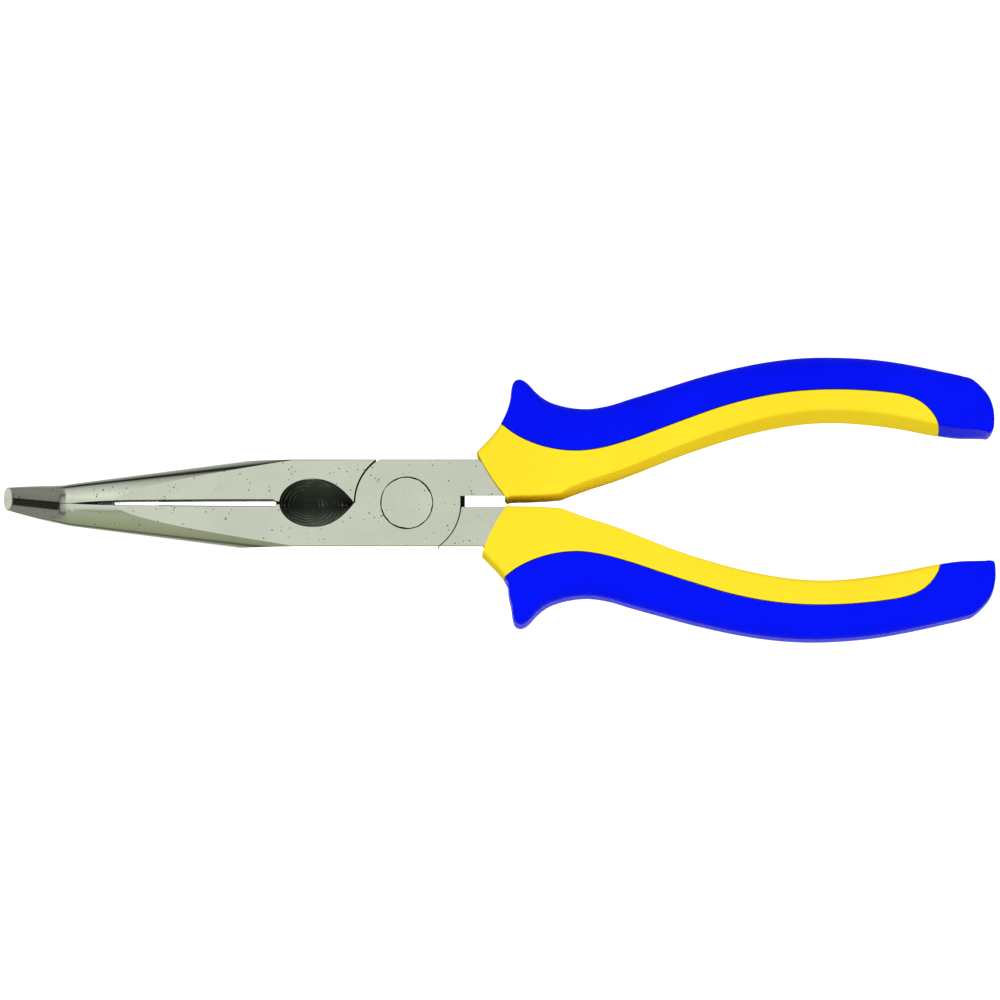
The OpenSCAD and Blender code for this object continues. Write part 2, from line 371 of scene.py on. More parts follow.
def lever_blank():
    """Head, nose and bent tip as one bar, ground flat on four sides, before it's parted."""
    bar = nose_bar()
    flats_from = -64
    outside = HALF_W + BEYOND
    clear = 3
    for side in (-1, 1):
        low, high = sorted((side * HALF_W, side * outside))
        boolean(bar, prism("side", rectangle(flats_from, BEYOND, low, high)), "DIFFERENCE")
    over = rectangle(flats_from, BEYOND, -outside, outside)
    boolean(bar, prism("above", over, HEAD_T), "DIFFERENCE")
    boolean(bar, prism("below", over, -BEYOND, 0), "DIFFERENCE")
    for side in (-1, 1):
        for up in (-1, 1):
            corner = [(HALF_W - EDGE_BEVEL - clear, MID_Z + clear),
                      (HALF_W + clear, MID_Z - EDGE_BEVEL - clear), (HALF_W + clear, MID_Z + clear)]
            rings = [[(x, side * y, MID_Z + up * z) for y, z in corner] for x in (flats_from, BEYOND)]
            boolean(bar, loft("edge", np.array(rings)), "DIFFERENCE")
    return bar


def along_jaws(table, x):
    """The value at x of one of the tables above, with straight lines between its rows."""
    return float(np.interp(x, [row[0] for row in table], [row[1] for row in table]))


def split_bevels(side):
    """A V along the split on one face, which leaves a narrow bevel on each jaw."""
    rings = []
    over = 0.2
    through_tip = np.linspace(-TIP_LEN - 1, 4, 60)
    along_nose = np.linspace(4.3, BEND_AT - 25.5, 110)
    for d in np.concatenate([through_tip, along_nose]):
        centre, up = nose_centre(d)
        half = along_jaws(JAW_GAPS, centre[0]) + along_jaws(SPLIT_BEVELS, centre[0])
        surface = min(HEAD_T / 2, nose_size(d)[1])
        ring = [(half + over, surface + over), (-half - over, surface + over), (0, surface - half)]
        rings.append([centre + (0, y, 0) + side * z * up for y, z in ring])
    return loft("split_bevels", np.array(rings))


def jaw_outline():
    """The lower jaw from above: tip, teeth, relief slot and cutting edge.

    The teeth are shallower towards the tip.
    """
    teeth_from = -SLOT_FROM - TOOTH_COUNT * TOOTH_PITCH
    ahead = -100
    outline = [(0, -HALF_W - 1), (ahead, -HALF_W - 1), (ahead, -JAW_GAP)]
    for i in range(TOOTH_COUNT):
        crest = teeth_from + i * TOOTH_PITCH
        root = crest + TOOTH_PITCH / 2
        depth = TOOTH_DEPTH * min(1.0, 0.25 + i / 14)
        outline.append((crest, -along_jaws(JAW_GAPS, crest)))
        outline.append((root, -along_jaws(JAW_GAPS, root) - depth))
    for x in np.linspace(-SLOT_FROM, -SLOT_TO - SLOT_HALF_W - 0.2, 12):
        outline.append((x, -along_jaws(JAW_GAPS, x)))
    centre = -SLOT_TO - SLOT_HALF_W
    for a in np.linspace(0, math.pi / 2, 9):
        y = (SLOT_HALF_W - JAW_GAP) * math.cos(a) + JAW_GAP
        outline.append((centre + SLOT_HALF_W * math.sin(a), -y))
    outline.append((0, -JAW_GAP))
    return outline


def lap_outline():
    """The round lap, cut off along the head's sides."""
    limit = HALF_W + 1
    outline = []
    for radius, facing in ((LAP_R, 0.0), (LAP_R_FRONT, math.pi)):
        corner = math.asin(limit / radius)
        for a in np.linspace(-corner, corner, 80) + facing:
            outline.append((radius * math.cos(a), radius * math.sin(a)))
    return outline


def lever_plan(turned):
    """The lower jaw, the lap and the upper handle's shank. turned makes the other lever's."""
    plan = prism("plan", jaw_outline())
    inner = LOWER_SHANK_Y if turned else UPPER_SHANK_Y
    shank = prism("shank_plan", rectangle(0, SHANK_END + 1, inner, HALF_W + 1))
    if turned:
        mirror_y(plan)
        mirror_y(shank)
        shank.data.transform(Matrix.Rotation(LOWER_HANDLE_TURN, 4, "Z"))
    boolean(plan, shank, "UNION")
    boolean(plan, prism("lap_plan", lap_outline()), "UNION")
    return plan


def cutter_outline():
    """The cutter's recess from above, round in front and pointed behind."""
    round_len = CUTTER_LEN * (1 - CUTTER_WIDEST)
    point_len = CUTTER_LEN * CUTTER_WIDEST
    widest_x = -CUTTER_TO - point_len
    upper = []
    for a in np.linspace(0, math.pi / 2, 24):
        upper.append((widest_x - round_len * math.cos(a), CUTTER_HALF_W * math.sin(a)))
    for u in np.linspace(0, 1, 24)[1:]:
        upper.append((widest_x + point_len * u, CUTTER_HALF_W * (1 - u**2.3)))
    lower = [(x, -y) for x, y in upper[-2:0:-1]]
    return upper + lower


def cutter_recess(side):
    """The recess narrows from one flat of the head down to the cutting edges' land."""
    outline = np.array(cutter_outline())
    left, right = outline[:, 0].min(), outline[:, 0].max()
    rings = []
    for share in (0.0, 0.12, 0.3, 0.5, 0.72, 0.88, 1.0, 1.08):
        height = CUTTER_LAND + (HEAD_T / 2 - CUTTER_LAND) * share
        inset = CUTTER_INSET * (1 - share)
        x = left + inset + (outline[:, 0] - left) * (right - left - 2 * inset) / (right - left)
        y = outline[:, 1] * max(share, 0.0) ** 0.85
        y = y + np.sign(outline[:, 1]) * 0.02 * (1 - min(share, 1))
        rings.append(np.stack([x, y, np.full_like(x, MID_Z + side * height)], 1))
    return loft("recess", np.array(rings))


def rivet_profile(clearance):
    """Half the rivet's section, for the bore that it sits in."""
    r, end_r = RIVET_R + clearance, RIVET_END_R + clearance
    low, high = -0.5 * clearance, HEAD_T + 0.5 * clearance
    return [(0, low), (end_r, low), (r, RIVET_SINK), (r, HEAD_T - RIVET_SINK), (end_r, high), (0, high)]


# Where the hidden tang is, seen from above: x, then its inner and outer edge
TANG_SECTIONS = [
    (12.0, 2.6, 8.4), (20.0, 2.8, 8.6), (27.0, 3.6, 10.0), (33.0, 5.6, 12.2),
    (38.0, 8.2, 14.4), (44.6, 10.6, 16.5), (54.3, 14.0, 19.7), (64.0, 17.1, 22.5),
    (73.7, 19.2, 24.3), (83.4, 20.2, 25.1), (93.1, 19.8, 24.4), (100.0, 19.0, 23.3),
    (104.0, 18.6, 22.0),
]


def tang():
    """The flat tang inside the upper grip."""
    outline = [(x, y) for x, y, _ in TANG_SECTIONS] + [(x, y) for x, _, y in reversed(TANG_SECTIONS)]
    return prism("tang", outline, MID_Z - TANG_HALF_T, MID_Z + TANG_HALF_T)


def finish_shading(piece, sharp_angle=32):
    """Smooth faces that meet at crisp edges, with flats that stay flat."""
    mesh = piece.data
    mesh.polygons.foreach_set("use_smooth", [True] * len(mesh.polygons))
    mesh.set_sharp_from_angle(angle=math.radians(sharp_angle))
    edges = bmesh.new()
    edges.from_mesh(mesh)
    edges.normal_update()
    for edge in edges.edges:
        flat = [max(abs(f.normal.z), abs(f.normal.y)) > 0.99999 for f in edge.link_faces]
        if any(flat) and not all(flat):
            edge.smooth = False
    edges.to_mesh(mesh)
    edges.free()
    return piece


def make_lever(name, turned):
    """The lower jaw's lever, or with turned the upper jaw's."""
    lever = lever_blank()
    lever.name = name
    boolean(lever, split_bevels(1), "DIFFERENCE")
    boolean(lever, split_bevels(-1), "DIFFERENCE")
    boolean(lever, lever_plan(turned), "INTERSECT")
    space = lathe("lap_space", [(0, -BEYOND), (SHOULDER_R, -BEYOND), (SHOULDER_R, 0), (0, 0)])
    space_top = MID_Z - LAP_GAP + BEYOND if turned else MID_Z + LAP_GAP
    space.data.transform(Matrix.Translation((SHOULDER_X * MM, 0, space_top * MM)))
    boolean(lever, space, "DIFFERENCE")
    if turned:
        tab = rectangle(TAB_FROM, TAB_TO, TAB_INNER, TAB_OUTER)
        boolean(lever, prism("stop_tab", tab, 0.3, MID_Z - 0.1), "UNION")
    boolean(lever, cutter_recess(1), "DIFFERENCE")
    boolean(lever, cutter_recess(-1), "DIFFERENCE")
    boolean(lever, lathe("bore", rivet_profile(0.06)), "DIFFERENCE")
    handle_part = tang()
    if turned:
        to_lower_handle(handle_part)
    boolean(lever, handle_part, "UNION")
    divide_walls(lever)
    drift(lever)
    lever.data.name = name
    return finish_shading(lever)


def divide_walls(lever):
    """Parts the split's walls at one height, as only their upper part gets painted shade."""
    walls = bmesh.new()
    walls.from_mesh(lever.data)
    parts = set()
    for face in walls.faces:
        x, y, _ = face.calc_center_median() / MM
        if x < -SLOT_TO and abs(y) < SPLIT_REACH and abs(face.normal.z) < 0.1:
            parts.update([face, *face.edges, *face.verts])
    level = (0, 0, (MID_Z + SPLIT_DARK_TO) * MM)
    bmesh.ops.bisect_plane(walls, geom=list(parts), plane_co=level, plane_no=(0, 0, 1))
    walls.to_mesh(lever.data)
    walls.free()


def paint_lever(lever):
    """Picks each face's material: 0 ground, 1 the cutter's recess, 2 painted shade inside the split and
    joint, on the stop tab and on the lap floor.
    """
    left, right = -CUTTER_TO - CUTTER_LEN - 0.3, -CUTTER_TO + 0.6
    for face in lever.data.polygons:
        x, y, z = face.center / MM
        steep = abs(face.normal.z)
        depth = HEAD_T / 2 - abs(z - MID_Z)
        in_recess = left < x < right and abs(y) < CUTTER_HALF_W + 0.1
        unlit = x < -TEETH_CLOSED or x > -SLOT_TO or z - MID_Z > SPLIT_DARK_TO
        split_y = y - TIP_DRIFT * max(0.0, TIP_DRIFT_FROM - x)
        in_split = x < -9 and abs(split_y) < SPLIT_REACH and abs(face.normal.y) > 0.3 and (
            0.3 < steep < 0.8 or unlit and steep <= 0.3)
        radius = math.hypot(x - SHOULDER_X, y)
        in_joint = radius < SHOULDER_R + 0.02 and abs(y) < HALF_W - EDGE_BEVEL and steep < 0.95
        on_tab = TAB_FROM < x < TAB_TO + 0.1 and -1 < y < 1.4 and z < MID_Z
        on_lap = radius < SHOULDER_R + 0.05 and abs(z - MID_Z) < 0.1 and steep > 0.95
        if in_recess and depth > 0.02 and steep > 0.12:
            face.material_index = 1
        # Material 2 is painted shade: the split's bevels and walls, the joint's walls, the stop tab and
        # the lap floor are coloured near black.
        elif in_split or in_joint or on_tab or on_lap:
            face.material_index = 2


def make_rivet():
    """The rivet, with ends that were hammered over and ground, so not quite round."""
    bevel = 0.05
    end_r = RIVET_END_R - RIVET_WORN
    half = [
        (0, 0.02), (end_r * 0.5, 0.015), (end_r - bevel, 0.0), (end_r, bevel), (RIVET_R, RIVET_SINK),
    ]
    other = [(r, HEAD_T - z) for r, z in reversed(half)]
    rivet = lathe("pivot_rivet_visual", half + other)
    for vertex in rivet.data.vertices:
        x, y, _ = vertex.co / MM
        if math.hypot(x, y) > end_r - 2 * bevel:
            a = math.atan2(y, x)
            waves = math.sin(2 * a + 2.6) + 0.5 * math.sin(5 * a + 1)
            waves = waves + 0.7 * math.sin(8 * a) + 0.6 * math.sin(17 * a + 2)
            worn = 0.05 * waves
            vertex.co.x *= 1 + worn / end_r
            vertex.co.y *= 1 + worn / end_r
    return finish_shading(rivet, 30)


def paint_rivet(rivet):
    """Gives all but the two ends the near-black steel, as painted shade down the bore."""
    for face in rivet.data.polygons:
        if abs(face.normal.z) < 0.95:
            face.material_index = 1


# ---- Grips, in the upper handle's place ----

# Each row is one section seen from above: the inner edge's x and y, the outer edge's x and
# y, half the thickness, how far the inner wall leans on the upper face's side, the inner and
# outer edges' radii, and how far the section bows towards the jaws.
GRIP_STATIONS = [
    (20.3, 0.75, 14.1, 10.6, 7.10, 0.25, 0.4, 0.8, 0.45),
    (21.0, 0.95, 15.4, 11.9, 7.30, 0.28, 0.4, 0.9, 0.40),
    (22.0, 1.00, 17.0, 13.6, 7.35, 0.30, 0.4, 1.0, 0.30),
    (23.0, 1.05, 18.3, 15.2, 7.40, 0.30, 0.4, 1.0, 0.22),
    (24.0, 1.05, 19.3, 17.0, 7.40, 0.28, 0.4, 1.0, 0.15),
    (25.0, 1.10, 20.2, 19.0, 7.45, 0.25, 0.4, 1.1, 0.08),
    (26.0, 1.15, 20.8, 21.2, 7.45, 0.25, 0.4, 1.2, 0.0),
    (27.0, 1.20, 21.05, 23.2, 7.45, 0.25, 0.4, 1.2, 0.0),
    (28.0, 1.25, 21.35, 24.4, 7.45, 0.25, 0.4, 1.3, 0.0),
    (28.7, 1.30, 21.9, 25.0, 7.45, 0.25, 0.4, 1.4, 0.0),
    (29.2, 1.35, 22.7, 25.2, 7.45, 0.25, 0.4, 1.5, 0.0),
    (29.8, 1.40, 23.6, 24.9, 7.45, 0.25, 0.4, 1.7, 0.0),
    (30.5, 1.45, 24.6, 24.1, 7.45, 0.28, 0.35, 1.9, 0.0),
    (31.3, 1.55, 25.6, 23.0, 7.45, 0.38, 0.3, 2.1, 0.0),
    (32.2, 1.85, 26.8, 21.9, 7.45, 0.60, 0.3, 2.3, 0.0),
    (33.4, 2.25, 28.3, 20.9, 7.45, 0.80, 0.3, 2.5, 0.0),
    (35.0, 2.80, 30.4, 20.1, 7.45, 0.90, 0.3, 2.7, 0.0),
    (37.0, 3.50, 33.2, 19.5, 7.45, 0.95, 0.3, 2.9, 0.0),
    (39.5, 4.30, 36.5, 19.3, 7.45, 0.95, 0.3, 3.0, 0.0),
    (42.3, 5.20, 40.0, 19.8, 7.45, 0.97, 0.3, 3.0, 0.0),
    (47.9, 7.25, 45.0, 21.3, 7.45, 1.10, 0.3, 3.1, 0.0),
    (54.3, 9.60, 51.0, 23.1, 7.45, 1.35, 0.35, 3.2, 0.0),
    (60.8, 11.7, 58.0, 25.2, 7.45, 1.55, 0.5, 3.3, 0.0),
    (67.3, 13.6, 65.2, 27.0, 7.50, 1.70, 0.7, 3.4, 0.0),
    (73.7, 15.0, 72.4, 28.35, 7.55, 1.90, 0.9, 3.4, 0.0),
    (80.2, 15.9, 79.8, 29.1, 7.55, 2.00, 1.0, 3.4, 0.0),
    (86.7, 16.1, 87.2, 29.1, 7.55, 2.00, 1.0, 3.4, 0.0),
    (93.1, 15.6, 94.6, 28.55, 7.50, 2.00, 1.0, 3.3, 0.0),
    (99.6, 14.7, 101.8, 27.4, 7.45, 1.90, 1.0, 3.0, 0.0),
    (106.1, 13.5, 108.0, 26.1, 7.35, 1.70, 0.9, 2.6, 0.0),
    (111.5, 12.85, 112.0, 25.2, 7.25, 1.45, 0.8, 2.2, 0.0),
    (115.0, 12.85, 114.3, 24.4, 7.15, 1.20, 0.7, 1.9, 0.0),
    (116.2, 12.9, 116.0, 22.9, 7.05, 0.95, 0.6, 1.6, 0.0),
    (116.6, 12.92, 117.5, 21.0, 7.00, 0.75, 0.5, 1.4, 0.0),
    (116.8, 12.95, 118.3, 19.0, 6.95, 0.60, 0.45, 1.2, 0.0),
    (117.0, 12.97, 118.6, 17.2, 6.90, 0.45, 0.4, 1.0, 0.0),
    (117.15, 13.0, 118.6, 15.5, 6.85, 0.35, 0.35, 0.8, 0.0),
    (117.3, 13.05, 118.5, 14.6, 6.80, 0.25, 0.3, 0.4, 0.0),
    (117.45, 13.1, 118.3, 14.0, 6.75, 0.15, 0.2, 0.2, 0.0),
]
CROWN = 0.3             # how much each face swells between its edges
FACE_DROP = 0.15        # how much lower than half the thickness the faces' edges are
LOWER_SET_BACK = 0.95   # how much farther back the lower guard's front edge is
LOWER_SLIMMER = 0.6     # how much farther out the lower grip's inner edge is
UNDERSIDE_LEAN = 0.3    # share of the inner wall's lean that the underside has

# The seam between the cover and the core, seen from above
SEAM = [
    (14.0, 19.5), (18.9, 15.9), (22.0, 13.6), (25.3, 12.0), (30.1, 10.7), (34.9, 10.4),
    (38.2, 10.8), (44.6, 12.5), (51.1, 14.8), (57.6, 17.1), (64.0, 19.2), (70.5, 20.8),
    (77.0, 21.8), (83.4, 22.2), (89.9, 22.1), (96.0, 21.6), (99.5, 21.1), (102.2, 20.3),
    (104.4, 19.0), (106.0, 17.3), (106.9, 15.8), (107.3, 14.5), (107.4, 12.5), (107.4, 5.0),
]
SEAM_HALF_GAP = 0.09

# The guard's diagonal ridge, in front of which the faces stand higher
RIDGE_FROM = np.array([21.9, 24.8])
RIDGE_TO = np.array([34.0, 10.7])
RIDGE_RISE = 0.68


def grip_profile(width, half_t, lean, inner_r, outer_r):
    """The upper half of a section, as (across from the inner edge, up), inner edge first."""
    draft = min(0.35, 0.1 * width)
    lean = min(lean, 0.3 * width)
    foot, crease = (0.0, 0.0), (lean, half_t)
    shoulder, heel = (width - draft, half_t), (width, 0.0)
    first = fillet(foot, crease, shoulder, inner_r, 6)
    second = fillet(crease, shoulder, heel, outer_r, 12)
    points = [np.array(foot) + (first[0] - np.array(foot)) * i / 7 for i in range(7)]
    points += first
    points += [first[-1] + (second[0] - first[-1]) * i / 15 for i in range(1, 15)]
    points += second
    points += [second[-1] + (np.array(heel) - second[-1]) * i / 6 for i in range(1, 7)]
    return np.array(points)


def crown(across, width):
    """How far a face swells at each place between its two edges."""
    share = np.clip(across / width, 0, 1)
    return CROWN * 4 * share * (1 - share)


def hollow(x, y):
    """How far the grip's faces have dropped behind the guard's diagonal ridge, from 0 to 1."""
    along = (RIDGE_TO - RIDGE_FROM) / np.linalg.norm(RIDGE_TO - RIDGE_FROM)
    past = (x - RIDGE_FROM[0]) * -along[1] + (y - RIDGE_FROM[1]) * along[0]
    below = np.clip((RIDGE_TO[1] - y) / 6, 0, 1)
    t = np.clip(past / (6 + 10 * below), 0, 1)
    return t * (2 - t)


def grip_body(lower):
    """The whole sleeve in the upper handle's place. Its two faces differ in the inner wall."""
    rows = through(GRIP_STATIONS, 0.4, measure=[0, 1, 2, 3])
    if lower:
        rows[:, 2] += LOWER_SET_BACK * smooth_step(20.6, 19.0, rows[:, 2])
        rows[:, 1] += LOWER_SLIMMER * smooth_step(38, 62, rows[:, 0])
    rings = []
    for ix, iy, ox, oy, half_t, lean, inner_r, outer_r, bow in rows:
        inner, outer = np.array([ix, iy]), np.array([ox, oy])
        width = float(np.linalg.norm(outer - inner))
        along = (outer - inner) / width
        ahead = np.array([-along[1], along[0]])
        sides = []
        for side, side_lean in ((1, lean), (-1, UNDERSIDE_LEAN * lean)):
            half = grip_profile(width, half_t, side_lean, inner_r, outer_r)
            share = half[:, 0] / width
            plan = inner + half[:, :1] * along + (bow * 4 * share * (1 - share))[:, None] * ahead
            on_face = (half[:, 1] / half_t) ** 4
            rise = crown(half[:, 0], width) - FACE_DROP
            rise = rise + RIDGE_RISE * (1 - hollow(plan[:, 0], plan[:, 1]))
            lift = np.maximum(half[:, 1] + rise * on_face, 0)
            lift[0] = lift[-1] = 0
            sides.append(np.column_stack([plan, MID_Z + side * lift]))
        rings.append(np.concatenate([sides[0], sides[1][-2:0:-1]]))
    return loft("grip_body", np.array(rings))


def cover_side(gap):
    """The stretch that the soft cover fills, drawn in from the seam by a gap."""
    curve = through(SEAM, 0.8)
    ahead = np.gradient(curve, axis=0)
    ahead /= np.linalg.norm(ahead, axis=1)[:, None]
    curve = curve + gap * np.column_stack([-ahead[:, 1], ahead[:, 0]])
    return prism("cover_side", [tuple(p) for p in curve] + [(125, 5), (125, 34), (14, 34)])


# The core's rib: x, its inner and outer edge, and half its thickness
SPINE_SECTIONS = [
    (23.0, 6.0, 14.0, 5.9), (31.7, 5.0, 17.0, 6.0), (38.0, 6.4, 17.0, 6.0),
    (44.6, 9.0, 18.7, 6.0), (54.3, 12.4, 21.6, 6.0), (64.0, 15.4, 24.3, 6.0),
    (73.7, 17.6, 26.0, 6.0), (83.4, 18.7, 26.7, 6.0), (93.1, 17.8, 26.2, 5.9),
    (102.8, 15.2, 24.4, 5.8), (107.5, 13.9, 23.4, 5.5), (111.0, 14.3, 22.2, 4.9),
    (115.0, 16.4, 20.2, 3.4),
]


def spine():
    """The core's rib that runs on under the cover."""
    angles = 2 * np.pi * (np.arange(48) + 0.5) / 48
    across = np.sign(np.cos(angles)) * np.abs(np.cos(angles)) ** 0.8
    up = np.sign(np.sin(angles)) * np.abs(np.sin(angles)) ** 0.8
    rings = []
    for x, low, high, half_t in through(SPINE_SECTIONS, 2.0):
        y = (low + high) / 2 + (high - low) / 2 * across
        rings.append(np.stack([np.full_like(y, x), y, MID_Z + half_t * up], 1))
    return loft("spine", np.array(rings))


def make_grip(core_name, cover_name, lower):
    """Parts one sleeve into its hard core and soft cover, and puts them on their handle."""
    body = grip_body(lower)
    core = copy_of(body, core_name)
    cover = body
    cover.name = cover_name
    boolean(core, cover_side(-SEAM_HALF_GAP), "DIFFERENCE")
    boolean(cover, cover_side(SEAM_HALF_GAP), "INTERSECT")
    rib = spine()
    boolean(cover, rib, "DIFFERENCE", keep=True)
    boolean(core, rib, "UNION")
    boolean(core, tang(), "DIFFERENCE")
    inner = LOWER_SHANK_Y if lower else UPPER_SHANK_Y
    shank_place = prism("shank_place", rectangle(5, SHANK_END, inner, HALF_W), 0, HEAD_T)
    boolean(core, shank_place, "DIFFERENCE")
    for piece in (core, cover):
        if lower:
            to_lower_handle(piece)
        drift(piece)
        piece.data.name = piece.name
        finish_shading(piece, 40)
    return core, cover


# ---- Materials ----


class Shader:
    """A small helper that builds one node material."""

    def __init__(self, name):
        self.material = bpy.data.materials.new(name)
        self.material.use_nodes = True
        self.tree = self.material.node_tree
        self.shader = self.tree.nodes["Principled BSDF"]
        self.place = self.add("ShaderNodeTexCoord").outputs["Object"]

    def add(self, kind, **settings):
        made = self.tree.nodes.new(kind)
        for key, value in settings.items():
            setattr(made, key, value)
        return made

    def link(self, source, target):
        self.tree.links.new(source, target)

    def set(self, **values):
        for key, value in values.items():
            self.shader.inputs[key.replace("_", " ")].default_value = value

    def stretched(self, x, y, z, turn=(0, 0, 0)):
        mapping = self.add("ShaderNodeMapping")
        mapping.inputs["Scale"].default_value = (x, y, z)
        mapping.inputs["Rotation"].default_value = turn
        self.link(self.place, mapping.inputs["Vector"])
        return mapping.outputs["Vector"]

    def noise(self, vector, scale, detail=3.0, roughness=0.55):
        made = self.add("ShaderNodeTexNoise")
        made.inputs["Scale"].default_value = scale
        made.inputs["Detail"].default_value = detail
        made.inputs["Roughness"].default_value = roughness
        self.link(vector, made.inputs["Vector"])
        return made.outputs["Fac"]

    def spots(self, vector, scale):
        made = self.add("ShaderNodeTexVoronoi")
        made.inputs["Scale"].default_value = scale
        self.link(vector, made.inputs["Vector"])
        return made.outputs["Distance"]

    def ramp(self, source, stops):
        made = self.add("ShaderNodeValToRGB")
        elements = made.color_ramp.elements
        while len(elements) < len(stops):
            elements.new(0.5)
        for element, (position, value) in zip(elements, stops):
            element.position = position
            element.color = (value, value, value, 1) if isinstance(value, float) else (*value, 1)
        self.link(source, made.inputs["Fac"])
        return made.outputs["Color"]

    def math(self, operation, a, b):
        made = self.add("ShaderNodeMath", operation=operation)
        for socket, value in zip(made.inputs, (a, b)):
            if isinstance(value, (int, float)):
                socket.default_value = value
            else:
                self.link(value, socket)
        return made.outputs["Value"]

    def mix(self, blend, factor, a, b):
        made = self.add("ShaderNodeMix", data_type="RGBA", blend_type=blend)
        if isinstance(factor, (int, float)):
            made.inputs["Factor"].default_value = factor
        else:
            self.link(factor, made.inputs["Factor"])
        for key, value in (("A", a), ("B", b)):
            socket = [s for s in made.inputs if s.name == key and s.type == "RGBA"][0]
            if isinstance(value, tuple):
                socket.default_value = (*value, 1)
            else:
                self.link(value, socket)
        return [s for s in made.outputs if s.type == "RGBA"][0]

    def bump(self, height, strength, distance):
        made = self.add("ShaderNodeBump")
        made.inputs["Strength"].default_value = strength
        made.inputs["Distance"].default_value = distance
        self.link(height, made.inputs["Height"])
        self.link(made.outputs["Normal"], self.shader.inputs["Normal"])


def ground_steel(name, light, dark):
    """Bright ground and polished steel, with fine scratches, pits and faint clouds."""
    s = Shader(name)
    s.set(Metallic=1.0)
    clouds = s.noise(s.place, 120, 4)
    colour = s.ramp(clouds, [(0.35, dark), (0.62, light)])
    pits = s.ramp(s.spots(s.place, 1150), [(0.12, 0.2), (0.25, 1.0)])
    where = s.ramp(s.noise(s.place, 260, 3, 0.7), [(0.53, 0.0), (0.57, 1.0)])
    marked = s.mix("MULTIPLY", where, colour, pits)
    turned = s.stretched(1, 5, 1, (0, 0, 0.5))
    nicks = s.ramp(s.noise(turned, 900, 4, 0.75), [(0.70, 1.0), (0.74, 0.45)])
    patches = s.ramp(s.noise(s.place, 170, 2), [(0.5, 0.0), (0.58, 0.8)])
    nicked = s.mix("MULTIPLY", patches, marked, nicks)
    s.link(nicked, s.shader.inputs["Base Color"])
    lines = s.noise(s.stretched(1, 14, 1), 900, 3, 0.7)
    s.link(s.ramp(lines, [(0.3, 0.04), (0.7, 0.10)]), s.shader.inputs["Roughness"])
    s.bump(s.math("ADD", s.math("MULTIPLY", lines, 0.25), clouds), 0.03, 0.0001)
    return s.material


def painted_shade_steel(name):
    """Painted shade: near-black steel for the faces inside the joint and the split, with a slightly
    mottled tone.
    """
    s = Shader(name)
    s.set(Metallic=1.0)
    shade_mottle = s.noise(s.place, 700, 3)
    # Base colour kept near black as painted shade for faces deep in narrow gaps; the mottle varies its
    # darkness and roughness.
    s.link(s.ramp(shade_mottle, [(0.3, (0.016, 0.018, 0.012)), (0.7, (0.05, 0.055, 0.04))]),
           s.shader.inputs["Base Color"])
    s.link(s.ramp(shade_mottle, [(0.3, 0.45), (0.7, 0.6)]), s.shader.inputs["Roughness"])
    return s.material


def milled_steel(name):
    """The dark faces of the cutter's recess, with the uneven arcs that the mill left."""
    s = Shader(name)
    s.set(Metallic=1.0)
    mapping = s.add("ShaderNodeMapping")
    mapping.inputs["Location"].default_value = (0.0200, 0.0, 0)
    mapping.inputs["Scale"].default_value = (1, 1.25, 0.2)
    s.link(s.place, mapping.inputs["Vector"])
    rings = s.add("ShaderNodeTexWave", wave_type="RINGS", rings_direction="SPHERICAL")
    rings.inputs["Scale"].default_value = 420
    rings.inputs["Distortion"].default_value = 2.6
    rings.inputs["Detail"].default_value = 4.0
    rings.inputs["Detail Scale"].default_value = 1.6
    s.link(mapping.outputs["Vector"], rings.inputs["Vector"])
    worn = s.ramp(s.noise(s.place, 210, 3), [(0.47, 0.0), (0.66, 1.0)])
    thin = s.ramp(rings.outputs["Fac"], [(0.45, 0.0), (0.95, 1.0)])
    split = s.add("ShaderNodeSeparateXYZ")
    s.link(s.place, split.inputs["Vector"])
    below = s.ramp(s.math("MULTIPLY", split.outputs["Y"], -250.0), [(0.05, 0.0), (0.75, 0.32)])
    tone = s.math("ADD", s.math("MULTIPLY", thin, worn), below)
    colour = s.ramp(tone, [(0.0, (0.10, 0.11, 0.09)), (0.5, (0.32, 0.345, 0.285)),
                           (1.0, (0.75, 0.79, 0.68))])
    s.link(colour, s.shader.inputs["Base Color"])
    s.link(s.ramp(worn, [(0.3, 0.5), (0.7, 0.38)]), s.shader.inputs["Roughness"])
    s.bump(rings.outputs["Fac"], 0.12, 0.0001)
    return s.material


def moulded_plastic(name, light, dark, gloss, sheen, roughness, grain):
    """Injection moulded plastic with slight unevenness in tone and a fine surface."""
    s = Shader(name)
    s.set(Metallic=0.0)
    s.shader.inputs["Specular IOR Level"].default_value = gloss
    s.shader.inputs["Sheen Weight"].default_value = sheen
    s.shader.inputs["Sheen Roughness"].default_value = 0.35
    clouds = s.noise(s.place, 60, 3)
    s.link(s.ramp(clouds, [(0.3, dark), (0.65, light)]), s.shader.inputs["Base Color"])
    fine = s.noise(s.place, grain, 3, 0.6)
    s.link(s.ramp(fine, [(0.3, roughness), (0.7, roughness + 0.1)]), s.shader.inputs["Roughness"])
    s.bump(fine, 0.08, 0.0001)
    return s.material


# ---- Stage ----


